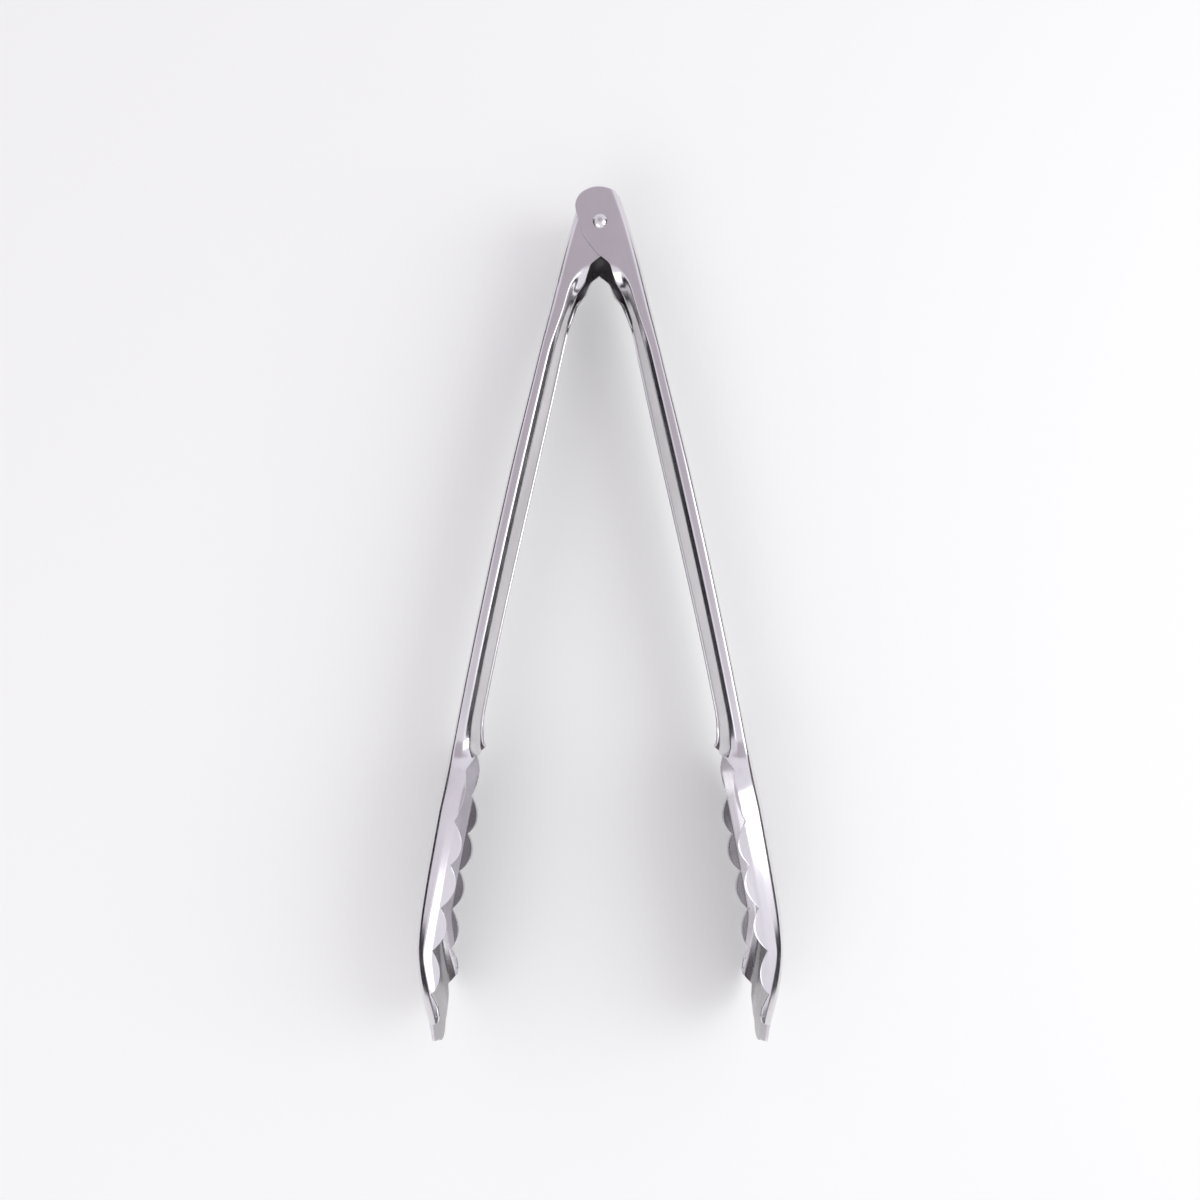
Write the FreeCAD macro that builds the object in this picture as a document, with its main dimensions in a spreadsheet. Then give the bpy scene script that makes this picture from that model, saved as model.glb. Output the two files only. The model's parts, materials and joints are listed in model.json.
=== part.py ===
import FreeCAD, Part
import Sketcher
import math
import os
from FreeCAD import Vector, Placement, Rotation

# Spring loaded kitchen tongs, lying flat and open, in millimetres.
# +Z runs along the hinge rivet, +Y towards the hinge, +X towards the outer arm.
#
# Each arm is drawn in its own frame first, with the rivet at the origin:
#   reach - distance from the rivet towards the tip (minus local Y)
#   out   - distance away from the plane where the closed arms meet
#   half  - distance from the middle plane, along the rivet

doc = FreeCAD.newDocument("tongs")
sheet = doc.addObject("Spreadsheet::Sheet", "sizes")

driving_sizes = [
    ("tip_reach", 288.5, "rivet axis to the tip of an arm"),
    ("open_half_angle", 11.0, "degrees from the closed plane to each arm at rest"),
    ("wall", 0.9, "sheet thickness"),
    ("hinge_half_width", 10.7, "middle plane to the outside of the outer cheeks"),
    ("nest_gap", 0.2, "clearance between nested cheeks"),
    ("ear_overhang", 11.95, "rivet axis to the top of the ear"),
    ("ear_reach_inward", 7.4, "rivet axis to the free side of the ear"),
    ("spine_at_hinge", 9.5, "rivet axis to the outside of the spine"),
    ("spine_at_shoulder", 15.6, "closed plane to the spine at the end of the handle"),
    ("cheek_reach", 15.25, "rivet axis to the corner where the cheek ends"),
    ("curl_reach", 34.0, "rivet axis to where the handle edges are rolled in"),
    ("edge_half_gap", 3.4, "middle plane to the rolled handle edges"),
    ("spine_bend", 2.6, "outside radius of the bend along the spine"),
    ("head_length", 108.0, "tip to the shoulder where the head begins"),
    ("head_half_width", 20.6, "middle plane to the side of the head"),
    ("rim_height", 7.6, "closed plane to the valleys of the scalloped rim"),
    ("scallop_pitch", 14.4, "distance between valleys of the rim"),
    ("scallop_depth", 3.2, "height of a scallop above its valleys"),
    ("rivet_diameter", 3.0, "shank of the rivet"),
    ("rivet_fit", 0.05, "radial clearance of the cheeks on the rivet"),
    ("rivet_head_diameter", 5.0, "domed head"),
    ("rivet_head_height", 1.3, "domed head"),
    ("rivet_tail_diameter", 4.6, "clinched tail"),
    ("rivet_tail_height", 0.8, "clinched tail"),
    ("spring_wire", 1.3, "wire diameter"),
    ("spring_coil_diameter", 7.4, "mean diameter of the coil"),
    ("spring_wire_gap", 0.15, "space between turns of the coil"),
    ("spring_turns", 5, "whole turns of the coil"),
    ("spring_leg_reach", 28.0, "rivet axis to the end of a leg"),
    ("contact_gap", 0.05, "space left where parts only touch"),
]
for row, (alias, value, note) in enumerate(driving_sizes, 1):
    sheet.set(f"A{row}", note)
    sheet.set(f"B{row}", str(value))
    sheet.setAlias(f"B{row}", alias)
doc.recompute()


def size(alias):
    return float(sheet.get(alias))


tip = size("tip_reach")
open_angle = size("open_half_angle")
wall = size("wall")
hinge_half = size("hinge_half_width")
edge_half = size("edge_half_gap")
shoulder = tip - size("head_length")
curl = size("curl_reach")
cheek = size("cheek_reach")
head_half = size("head_half_width")
rim = size("rim_height")
pitch = size("scallop_pitch")
depth = size("scallop_depth")
spine_hinge = size("spine_at_hinge")
spine_shoulder = size("spine_at_shoulder")


def smooth(at, knots):
    """Monotone cubic curve through (position, value) knots."""
    xs = [knot[0] for knot in knots]
    ys = [knot[1] for knot in knots]
    if at <= xs[0]:
        return ys[0]
    if at >= xs[-1]:
        return ys[-1]
    rise = [(ys[i + 1] - ys[i]) / (xs[i + 1] - xs[i]) for i in range(len(xs) - 1)]
    slope = [rise[0]]
    for before, after in zip(rise, rise[1:]):
        slope.append(2 * before * after / (before + after) if before * after > 0 else 0.0)
    slope.append(rise[-1])
    i = max(k for k in range(len(xs) - 1) if xs[k] <= at)
    span = xs[i + 1] - xs[i]
    t = (at - xs[i]) / span
    return (
        ys[i] * (1 + 2 * t) * (1 - t) ** 2
        + ys[i + 1] * t * t * (3 - 2 * t)
        + span * t * (1 - t) * (slope[i] * (1 - t) - slope[i + 1] * t)
    )


def along_handle(share):
    """Reach of a point a given share of the way from the curl to the shoulder."""
    return curl + share * (shoulder - curl)


# Rails along one arm. A section's outside runs from the middle of the spine to its
# corner, then across the land, the crease and the edge.
skin_start = -size("ear_overhang") - 2.0
skin_end = tip + 1.5

spine_out = [
    (skin_start, spine_hinge - 2.2),
    (0.0, spine_hinge),
    (12.0, spine_hinge + 1.1),
    (24.0, spine_hinge + 1.8),
    (along_handle(0.1), spine_shoulder - 3.3),
    (along_handle(0.4), spine_shoulder - 1.2),
    (along_handle(0.7), spine_shoulder - 0.25),
    (along_handle(0.9), spine_shoulder),
    (tip - 98, spine_shoulder),
    (tip - 64, spine_shoulder - 0.4),
    (tip - 49, spine_shoulder - 0.9),
    (tip - 38, spine_shoulder - 2.1),
    (tip - 28, rim + 3.6),
    (tip - 18, rim + 0.4),
    (tip - 9, 4.1),
    (tip, 1.0),
    (skin_end, 0.5),
]
land_out = [
    (skin_start, -3.0),
    (8.0, -3.0),
    (cheek - 3.6, -1.0),
    (cheek + 1.2, 3.2),
    (cheek + 8.2, 5.9),
    (curl - 2, 6.7),
    (along_handle(0.1), 8.9),
    (along_handle(0.95), 12.1),
    (shoulder + 6, 11.8),
    (shoulder + 12, 11.2),
    (tip - 80, 11.0),
    (tip - 38, 10.6),
    (tip - 26, 7.0),
    (tip - 12, 1.6),
    (skin_end, -1.0),
]
crease_out = [
    (skin_start, -6.5),
    (8.0, -6.5),
    (cheek - 3.6, -2.4),
    (cheek + 1.2, 1.5),
    (cheek + 8.2, 4.5),
    (curl - 2, 5.6),
    (along_handle(0.1), 7.25),
    (along_handle(0.95), 10.4),
    (shoulder + 3, 9.7),
    (shoulder + 7, 8.4),
    (shoulder + 12, 8.2),
    (tip - 80, rim + 0.4),
    (tip - 38, rim),
    (tip - 26, 4.6),
    (tip - 12, 0.2),
    (skin_end, -1.6),
]
edge_out = [
    (skin_start, -10.0),
    (8.0, -10.0),
    (cheek - 3.6, -4.8),
    (cheek + 1.2, -0.6),
    (cheek + 9.5, 2.3),
    (curl - 2, 3.9),
    (curl + 2, 4.75),
    (along_handle(0.1), 4.95),
    (along_handle(0.95), 8.0),
    (shoulder + 3, 6.6),
    (shoulder + 7, 4.9),
    (shoulder + 11, 4.6),
    (tip - 80, rim - depth - 0.9),
    (tip - 38, rim - depth - 1.5),
    (tip - 26, 0.4),
    (tip - 12, -1.4),
    (skin_end, -2.2),
]


def rails_of_width(cheek_half):
    """Half widths of the four rails for an arm whose cheeks stand at cheek_half."""
    flat = [(skin_start, cheek_half), (cheek + 2.5, cheek_half), (curl + 11, hinge_half)]
    land = flat + [
        (shoulder + 2, hinge_half),
        (shoulder + 7, hinge_half + 1.1),
        (shoulder + 11, hinge_half + 3.7),
        (shoulder + 18, head_half - 3.0),
        (shoulder + 27, head_half - 1.4),
        (tip - 60, head_half - 0.7),
        (tip - 30, head_half - 0.7),
        (skin_end, head_half - 2.2),
    ]
    corner = flat + [
        (shoulder + 2, hinge_half),
        (shoulder + 7, hinge_half + 0.8),
        (shoulder + 11, hinge_half + 2.6),
        (shoulder + 18, head_half - 4.8),
        (shoulder + 27, head_half - 3.0),
        (tip - 60, head_half - 2.4),
        (tip - 30, head_half - 2.6),
        (tip - 12, head_half - 5.6),
        (skin_end, head_half - 6.6),
    ]
    crease = [
        (skin_start, cheek_half),
        (cheek - 2.0, cheek_half),
        (cheek + 1.2, cheek_half - 0.3),
        (cheek + 8.2, cheek_half - 1.7),
        (curl, hinge_half - 1.9),
        (along_handle(0.1), hinge_half - 1.5),
        (shoulder, hinge_half - 1.5),
        (shoulder + 3.5, hinge_half - 1.0),
        (shoulder + 7, hinge_half + 0.6),
        (shoulder + 11, hinge_half + 4.2),
        (shoulder + 18, head_half - 2.0),
        (shoulder + 27, head_half - 0.6),
        (tip - 60, head_half),
        (tip - 30, head_half),
        (skin_end, head_half - 1.0),
    ]
    edge = [
        (skin_start, cheek_half),
        (cheek - 2.0, cheek_half),
        (cheek + 1.2, cheek_half - 0.7),
        (cheek + 5.2, cheek_half - 2.3),
        (cheek + 9.5, edge_half + 1.9),
        (cheek + 13, edge_half + 0.5),
        (curl - 1, edge_half),
        (shoulder - 2, edge_half),
        (shoulder + 3.5, edge_half + 1.6),
        (shoulder + 7, edge_half + 5.8),
        (shoulder + 11, head_half - 5.2),
        (shoulder + 18, head_half - 1.6),
        (shoulder + 27, head_half - 0.7),
        (tip - 60, head_half - 1.0),
        (tip - 30, head_half - 0.4),
        (skin_end, head_half),
    ]
    return corner, land, crease, edge


# How far from each corner its rounding begins.
corner_round = [
    (shoulder, size("spine_bend")),
    (shoulder + 27, size("spine_bend") + 3.4),
    (tip - 30, size("spine_bend") + 3.4),
    (tip, size("spine_bend") + 1.4),
]


def corner_arc(before, corner, after, cut):
    """Four points round a bend, starting and ending a given length from its corner."""
    toward = (corner - before).normalize()
    away = (after - corner).normalize()
    cut = min(cut, 0.8 * (corner - before).Length, 0.8 * (after - corner).Length)
    begin = corner - toward * cut
    end = corner + away * cut
    pull = 0.55
    first = begin + (corner - begin) * pull
    last = end + (corner - end) * pull
    arc_points = []
    for step in range(4):
        t = step / 3
        arc_points.append(
            begin * (1 - t) ** 3
            + first * (3 * t * (1 - t) ** 2)
            + last * (3 * t * t * (1 - t))
            + end * t**3
        )
    return arc_points


def half_section(reach, rails):
    """Outside of half a section, from the bend of the spine to the edge."""
    corner, land, crease, edge = rails
    spine = smooth(reach, spine_out)
    middle = Vector(spine, -reach, 0)
    bend = Vector(spine, -reach, smooth(reach, corner))
    land_end = Vector(smooth(reach, land_out), -reach, smooth(reach, land))
    crease_end = Vector(smooth(reach, crease_out), -reach, smooth(reach, crease))
    edge_end = Vector(smooth(reach, edge_out), -reach, smooth(reach, edge))
    trim = rim_out(reach)
    points = corner_arc(middle, bend, land_end, smooth(reach, corner_round))
    return trimmed_at(points + [land_end, crease_end, edge_end], trim)


def trimmed_at(points, trim):
    """The last three points pulled back along the section to where it is cut off."""
    land_end, crease_end, edge_end = points[-3:]
    if edge_end.x < trim:
        start, end = (crease_end, edge_end) if crease_end.x > trim else (land_end, crease_end)
        share = (start.x - trim) / (start.x - end.x)
        edge_end = start + (end - start) * share
        if crease_end.x <= trim:
            crease_end = land_end + (edge_end - land_end) * 0.6
    return points[:-3] + [land_end, crease_end, edge_end]


def section_wire(reach, rails):
    """Closed section of the sheet: outside, rolled edge, inside, rolled edge."""
    upper = half_section(reach, rails)
    outside = [Vector(p.x, p.y, -p.z) for p in reversed(upper)] + upper
    count = len(outside)
    inside = []
    for k, here in enumerate(outside):
        before = outside[max(k - 1, 0)]
        after = outside[min(k + 1, count - 1)]
        first = (here - before).normalize() if k > 0 else (after - here).normalize()
        second = (after - here).normalize() if k < count - 1 else first
        middle = (first + second).normalize()
        stretch = wall / max(0.5, middle.dot(first))
        inside.append(here + Vector(-middle.z, 0, middle.x) * stretch)
    ring = outside + list(reversed(inside))
    return Part.makePolygon(ring + [ring[0]])


def point(out, reach):
    return Vector(out, -reach, 0)


def arc(start, through, end):
    return Part.Arc(start, through, end).toShape()


def line(start, end):
    return Part.LineSegment(start, end).toShape()


# Valleys of the scalloped rim, from the shoulder to the front of the head.
first_valley = tip - 81.0
last_valley = first_valley + 4 * pitch
notch = shoulder + 11.0
front_valley = tip - 11.5
valley_line = [
    (shoulder + 5.2, 5.3),
    (notch, rim + 1.2),
    (first_valley, rim + 1.2),
    (first_valley + pitch, rim - 0.4),
    (first_valley + 2 * pitch, rim),
    (first_valley + 3 * pitch, rim + 0.1),
    (last_valley, rim - 2.2),
    (front_valley, 2.6),
    (tip - 6.0, 0.0),
    (skin_end, 0.0),
]
ear_side = -4.8
cheek_edge = [
    (ear_side, -size("ear_reach_inward")),
    (-1.0, 0.45 - size("ear_reach_inward")),
    (1.8, 0.75 - size("ear_reach_inward")),
    (5.9, 2.2 - size("ear_reach_inward")),
    (cheek - 4.4, -2.6),
    (cheek, 0.6),
    (cheek + 4.9, 1.2),
    (cheek + 9.55, 3.15),
    (cheek + 14.2, 4.05),
    (curl, 4.75),
]


def rim_out(reach):
    """Where the sheet is cut off at a given reach."""
    if reach <= curl:
        return smooth(reach, cheek_edge)
    if reach < shoulder + 5.2:
        return 0.0
    valleys = smooth(reach, valley_line)
    if reach <= notch or reach >= tip - 6.0:
        return valleys
    if reach < first_valley:
        start, end, height = notch, first_valley, 1.6
    elif reach < last_valley:
        start = first_valley + pitch * math.floor((reach - first_valley) / pitch)
        end, height = start + pitch, depth
    elif reach < front_valley:
        start, end, height = last_valley, front_valley, 2.6
    else:
        return valleys
    across = 2 * (reach - start) / (end - start) - 1
    return valleys - height * (1 - across**2)


def stations():
    """Reaches of the sections, closer together where the arm changes shape."""
    hinge = [0.0, 4.0, 8.0, cheek - 3.6, cheek - 1.5, cheek, cheek + 2.4, cheek + 4.9]
    hinge += [cheek + 7.2, cheek + 9.55, cheek + 11.8, cheek + 14.2, curl - 2, curl]
    handle = [curl + 0.01, curl + 4, curl + 9]
    handle += [along_handle(share) for share in (0.1, 0.25, 0.4, 0.55, 0.7, 0.85, 0.95)]
    neck = [shoulder, shoulder + 3, shoulder + 5.2, shoulder + 7.2, shoulder + 9.2, notch]
    neck += [notch + (first_valley - notch) * k / 5 for k in range(1, 5)]
    head = [first_valley + pitch * k / 4 for k in range(17)]
    front = [tip - 20.5, tip - 17.5, tip - 14.5, front_valley, tip - 8.5, tip - 6, tip - 3]
    return [skin_start, ear_side] + hinge + handle + neck + head + front + [skin_end]


def ear_outline():
    """Everything kept round the top of the ear, seen along the rivet."""
    overhang = size("ear_overhang")
    inner = size("ear_reach_inward")
    wide = 30.0
    spine_top = point(spine_hinge - 1.4, 4.3 - overhang)
    spine_round = point(spine_hinge - 2.9, 1.75 - overhang)
    ear_round = point(-0.55 * inner, 0.95 - overhang)
    ear_corner = point(-inner, ear_side)
    ring = [ear_corner, point(-wide, ear_side), point(-wide, tip + wide)]
    ring += [point(wide, tip + wide), point(wide, 4.3 - overhang), spine_top]
    edges = [line(start, end) for start, end in zip(ring, ring[1:])]
    edges.append(arc(spine_top, point(spine_hinge - 1.85, 2.8 - overhang), spine_round))
    edges.append(arc(spine_round, point(1.3, -overhang), ear_round))
    edges.append(arc(ear_round, point(-0.9 * inner, 3.5 - overhang), ear_corner))
    return Part.Wire(edges)


def front_outline():
    """Everything kept round the scalloped front, seen along the out direction."""
    valleys = [(tip - 23.5, head_half + 1.2), (front_valley, head_half - 5.0)]
    valleys.append((tip - 3.1, head_half * 0.35))
    upper = [Vector(0, -reach, half) for reach, half in valleys]
    lower = [Vector(0, -reach, -half) for reach, half in reversed(valleys)]
    corners = upper + lower
    edges = []
    for start, end in zip(corners, corners[1:]):
        way = (end - start).normalize()
        forward = Vector(0, way.z, -way.y)
        if forward.y > 0:
            forward = forward * -1
        height = 3.1 if start.z * end.z < 0 else 2.7
        edges.append(arc(start, (start + end) * 0.5 + forward * height, end))
    wide = head_half + 8.0
    back = skin_start - 5.0
    ring = [lower[-1], Vector(0, upper[0].y, -wide), Vector(0, -back, -wide)]
    ring += [Vector(0, -back, wide), Vector(0, upper[0].y, wide), upper[0]]
    edges += [line(start, end) for start, end in zip(ring, ring[1:])]
    return Part.Wire(edges)


def feature(name, shape):
    made = doc.addObject("Part::Feature", name)
    made.Shape = shape
    return made


def extrusion(name, wire, direction, half_length):
    """A prism of the wire's face, the same distance both ways."""
    face = feature(name + "_outline", Part.Face(wire))
    prism = doc.addObject("Part::Extrusion", name)
    prism.Base = face
    prism.DirMode = "Custom"
    prism.Dir = direction
    prism.LengthFwd = half_length
    prism.LengthRev = half_length
    prism.Solid = True
    return prism


def mirrored(shape):
    return shape.mirror(Vector(0, 0, 0), Vector(1, 0, 0))


def stop_block():
    """What the inner ear leaves free for the outer spine and its bend at rest."""
    span = 40.0
    turn = 2 * open_angle
    inside = spine_hinge - size("spine_bend") - 2 * size("contact_gap")
    lean = math.degrees(math.atan2(spine_hinge - smooth(skin_start, spine_out), -skin_start))
    block = Part.makeBox(span, 2 * span, 2 * span, Vector(inside, -span, -span))
    block.rotate(Vector(spine_hinge, 0, 0), Vector(0, 0, 1), lean)
    block.rotate(Vector(0, 0, 0), Vector(0, 0, 1), turn)
    return block


def make_arm(name, cheek_half, is_inner):
    """A formed, trimmed and pierced arm in its own frame."""
    rails = rails_of_width(cheek_half)
    wires = [section_wire(reach, rails) for reach in stations()]
    blank_shape = Part.makeLoft(wires, True, True)
    side_wire = ear_outline()
    plan_wire = front_outline()
    if is_inner:
        blank_shape = mirrored(blank_shape)
        side_wire = mirrored(side_wire)
        plan_wire = mirrored(plan_wire)
    blank = feature(name + "_blank", blank_shape)
    side = extrusion(name + "_side", side_wire, Vector(0, 0, 1), 40.0)
    plan = extrusion(name + "_plan", plan_wire, Vector(1, 0, 0), 60.0)
    shaped = doc.addObject("Part::Common", name + "_shaped")
    shaped.Base = blank
    shaped.Tool = side
    trimmed = doc.addObject("Part::Common", name + "_trimmed")
    trimmed.Base = shaped
    trimmed.Tool = plan
    bore = doc.addObject("Part::Cylinder", name + "_bore")
    bore.setExpression("Radius", "sizes.rivet_diameter / 2 + sizes.rivet_fit")
    bore.setExpression("Height", "4 * sizes.hinge_half_width")
    bore.setExpression("Placement.Base.z", "-2 * sizes.hinge_half_width")
    tools = [bore]
    if is_inner:
        tools.append(feature(name + "_stop", stop_block()))
    arm = trimmed
    joined = [shaped, trimmed]
    for tool in tools:
        cut = doc.addObject("Part::Cut", tool.Name.replace(name, name + "_less"))
        cut.Base = arm
        cut.Tool = tool
        joined.append(cut)
        arm = cut
    for step in joined:
        step.Refine = False
    return arm


def make_rivet():
    """Domed rivet, turned about the hinge axis, as a sketch and a revolution."""
    body = doc.addObject("PartDesign::Body", "pivot_rivet")
    sketch = body.newObject("Sketcher::SketchObject", "rivet_profile")
    planes = [item for item in body.Origin.OriginFeatures if item.Role == "XZ_Plane"]
    sketch.AttachmentSupport = [(planes[0], "")]
    sketch.MapMode = "FlatFace"
    shank = size("rivet_diameter") / 2
    head = size("rivet_head_diameter") / 2
    tail = size("rivet_tail_diameter") / 2
    top = hinge_half + size("rivet_head_height")
    low = -hinge_half - size("rivet_tail_height")

    def crown(radius, base, peak):
        """Arc from the rim of a crown to its peak on the axis."""
        height = abs(peak - base)
        bow = (radius**2 + height**2) / (2 * height)
        centre = Vector(0, peak - math.copysign(bow, peak), 0)
        rim_angle = math.atan2(base - centre.y, radius)
        peak_angle = math.copysign(math.pi / 2, peak)
        low_angle, high_angle = sorted((rim_angle, peak_angle))
        circle = Part.Circle(centre, Vector(0, 0, 1), bow)
        return Part.ArcOfCircle(circle, low_angle, high_angle)

    sketch.addGeometry(Part.LineSegment(Vector(0, low, 0), Vector(0, top, 0)), False)
    sketch.addGeometry(crown(head, hinge_half, top), False)
    corners = [
        Vector(head, hinge_half, 0),
        Vector(shank, hinge_half, 0),
        Vector(shank, -hinge_half, 0),
        Vector(tail, -hinge_half, 0),
    ]
    for start, end in zip(corners, corners[1:]):
        sketch.addGeometry(Part.LineSegment(start, end), False)
    sketch.addGeometry(crown(tail, -hinge_half, low), False)
    axis, dome, under, side, over, clinch = range(6)
    joined = [
        (axis, 2, dome, 2),
        (dome, 1, under, 1),
        (under, 2, side, 1),
        (side, 2, over, 1),
        (over, 2, clinch, 2),
        (clinch, 1, axis, 1),
    ]
    for first, first_end, second, second_end in joined:
        sketch.addConstraint(
            Sketcher.Constraint("Coincident", first, first_end, second, second_end)
        )
    for edge, place in ((axis, 1), (axis, 2), (dome, 3), (clinch, 3)):
        sketch.addConstraint(Sketcher.Constraint("PointOnObject", edge, place, -2))
    sketch.addConstraint(Sketcher.Constraint("Horizontal", under))
    sketch.addConstraint(Sketcher.Constraint("Vertical", side))
    sketch.addConstraint(Sketcher.Constraint("Horizontal", over))
    bound = [
        ("DistanceX", (-1, 1, side, 1), shank, "sizes.rivet_diameter / 2"),
        ("DistanceX", (-1, 1, dome, 1), head, "sizes.rivet_head_diameter / 2"),
        ("DistanceX", (-1, 1, clinch, 2), tail, "sizes.rivet_tail_diameter / 2"),
        ("DistanceY", (-1, 1, side, 1), hinge_half, "sizes.hinge_half_width"),
        ("DistanceY", (side, 2, -1, 1), hinge_half, "sizes.hinge_half_width"),
        ("DistanceY", (-1, 1, axis, 2), top, "sizes.hinge_half_width + sizes.rivet_head_height"),
        ("DistanceY", (axis, 1, -1, 1), -low, "sizes.hinge_half_width + sizes.rivet_tail_height"),
    ]
    for kind, ends, value, expression in bound:
        index = sketch.addConstraint(Sketcher.Constraint(kind, *ends, value))
        sketch.setExpression(f"Constraints[{index}]", expression)
    turned = body.newObject("PartDesign::Revolution", "rivet_turned")
    turned.Profile = sketch
    turned.ReferenceAxis = (sketch, ["V_Axis"])
    turned.Angle = 360
    return body


def make_spring():
    """Torsion spring: a leg along each arm's spine and a coil round the rivet."""
    coil = size("spring_coil_diameter") / 2
    wire = size("spring_wire") / 2
    pitch_up = 2 * wire + size("spring_wire_gap")
    reach = size("spring_leg_reach")
    out = smooth(reach, spine_out) - wall - wire - size("contact_gap")
    far = math.hypot(out, reach)
    tangent = math.acos(coil / far) - math.atan2(reach, out)
    start_angle = tangent + math.radians(open_angle)
    turning = math.pi - 2 * start_angle + 2 * math.pi * int(size("spring_turns"))
    height = pitch_up * turning / (2 * math.pi)
    climb = pitch_up / (2 * math.pi * coil)
    leg = math.sqrt(far**2 - coil**2)
    begin = Vector(coil * math.cos(start_angle), coil * math.sin(start_angle), -height / 2)
    finish = Vector(-begin.x, begin.y, height / 2)
    heading = Vector(-math.sin(start_angle), math.cos(start_angle), climb)
    leaving = Vector(-math.sin(start_angle), -math.cos(start_angle), climb)
    first_end = begin - heading * leg
    last_end = finish + leaving * leg
    helix = Part.makeHelix(pitch_up, height, coil)
    helix.rotate(Vector(0, 0, 0), Vector(0, 0, 1), math.degrees(start_angle))
    helix.translate(Vector(0, 0, -height / 2))
    path = Part.Wire([line(first_end, begin)] + helix.Edges + [line(finish, last_end)])
    section = Part.Wire([Part.makeCircle(wire, first_end, heading)])
    return feature("torsion_spring", path.makePipeShell([section], True, True))


inner_half = hinge_half - wall - size("nest_gap")
outer_arm = make_arm("outer_arm", hinge_half, False)
inner_arm = make_arm("inner_arm", inner_half, True)
rivet = make_rivet()
spring = make_spring()
doc.recompute()

pieces = {
    "outer_arm": (outer_arm, open_angle),
    "inner_arm": (inner_arm, -open_angle),
    "pivot_rivet": (rivet, 0.0),
    "torsion_spring": (spring, 0.0),
}
for name, (piece, angle) in pieces.items():
    piece.Label = name
    piece.Placement = Placement(Vector(0, 0, 0), Rotation(Vector(0, 0, 1), angle))

# The origin is under the middle of the tongs, on the plane that the heads rest on.
edge_boxes = [edge.BoundBox for arm in (outer_arm, inner_arm) for edge in arm.Shape.Edges]
top = max(box.YMax for box in edge_boxes)
foot = min(box.YMin for box in edge_boxes)
rest = min(box.ZMin for box in edge_boxes)
pivot = Vector(0, -(top + foot) / 2, -rest)
for piece, angle in pieces.values():
    piece.Placement = Placement(pivot, piece.Placement.Rotation)
doc.recompute()
print("rivet axis stands at", pivot)

for item in doc.Objects:
    faults = [state for state in item.State if state in ("Invalid", "Error")]
    if faults:
        raise RuntimeError(f"{item.Name} is {faults}")
for name, (piece, angle) in pieces.items():
    shape = piece.Shape
    if shape.isNull() or not shape.isValid() or len(shape.Solids) != 1:
        raise RuntimeError(f"{name} has no single valid solid")
    print(name, round(shape.Volume, 1))

os.makedirs("parts", exist_ok=True)
for name, (piece, angle) in pieces.items():
    piece.Shape.exportStep(f"parts/{name}.step")
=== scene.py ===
import bpy
import json
import math
import numpy as np
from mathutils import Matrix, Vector


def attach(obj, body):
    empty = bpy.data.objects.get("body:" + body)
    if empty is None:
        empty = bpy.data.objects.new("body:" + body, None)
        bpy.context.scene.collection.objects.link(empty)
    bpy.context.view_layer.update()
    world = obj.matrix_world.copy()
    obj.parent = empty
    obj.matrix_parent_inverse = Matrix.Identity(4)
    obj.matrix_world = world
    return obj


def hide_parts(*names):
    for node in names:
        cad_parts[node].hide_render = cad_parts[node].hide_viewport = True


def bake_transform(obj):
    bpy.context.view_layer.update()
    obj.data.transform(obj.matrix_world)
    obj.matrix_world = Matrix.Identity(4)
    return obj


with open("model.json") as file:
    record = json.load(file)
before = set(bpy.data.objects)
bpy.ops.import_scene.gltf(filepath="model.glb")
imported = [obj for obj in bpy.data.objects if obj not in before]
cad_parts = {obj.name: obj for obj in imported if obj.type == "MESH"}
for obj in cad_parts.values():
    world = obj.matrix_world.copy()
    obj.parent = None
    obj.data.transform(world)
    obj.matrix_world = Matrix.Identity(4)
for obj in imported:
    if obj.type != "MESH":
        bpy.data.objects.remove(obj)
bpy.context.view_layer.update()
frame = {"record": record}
hinge = next(joint for joint in frame["record"]["behaviour"]["joints"] if joint["name"] == "arm_hinge")
pivot = np.array(hinge["pos_m"])
mm = 0.001
print("frame loaded, hinge at", pivot.tolist())

# Arm lengths are in millimetres in the arm's own frame, from the rivet:
# reach runs to the tip, out runs away from the plane where the closed arms meet,
# half runs along the rivet from the middle plane.
arm = {
    "tip": 288.5, "openAngle": 11.0, "wall": 0.9, "cheekHalf": 10.7, "nestGap": 0.2,
    "earTop": 11.95, "earSide": 7.4, "earSideReach": -4.8, "spineHinge": 9.5,
    "spineShoulder": 15.6, "cheekReach": 15.25, "curlReach": 34.0, "edgeHalf": 3.4,
    "spineBend": 2.6, "spineDrop": 2.2, "headLength": 108.0, "headHalf": 20.6, "rim": 7.6,
    "scallopPitch": 14.4, "scallopDepth": 3.2, "scallopCount": 4, "openingScallop": 1.6,
    "frontScallop": 2.6, "firstValleyFromTip": 81.0, "frontValleyFromTip": 11.5,
    "rimFromShoulder": 5.2, "notchFromShoulder": 11.0, "fanFromTip": 20.0,
    "landRound": 0.45, "creaseRound": 0.4, "bevel": 0.1, "bevelAngle": 60.0, "stopClearance": 0.1,
}
tip, rim, headHalf = arm["tip"], arm["rim"], arm["headHalf"]
cheek, curl = arm["cheekReach"], arm["curlReach"]
shoulder = tip - arm["headLength"]
skinStart, skinEnd = -arm["earTop"] - 2.0, tip + 1.5  # the rails run a little past the sheet
rimStart = shoulder + arm["rimFromShoulder"]
notch = shoulder + arm["notchFromShoulder"]
firstValley = tip - arm["firstValleyFromTip"]
lastValley = firstValley + arm["scallopCount"] * arm["scallopPitch"]
frontValley = tip - arm["frontValleyFromTip"]
fanStart = tip - arm["fanFromTip"]


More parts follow.
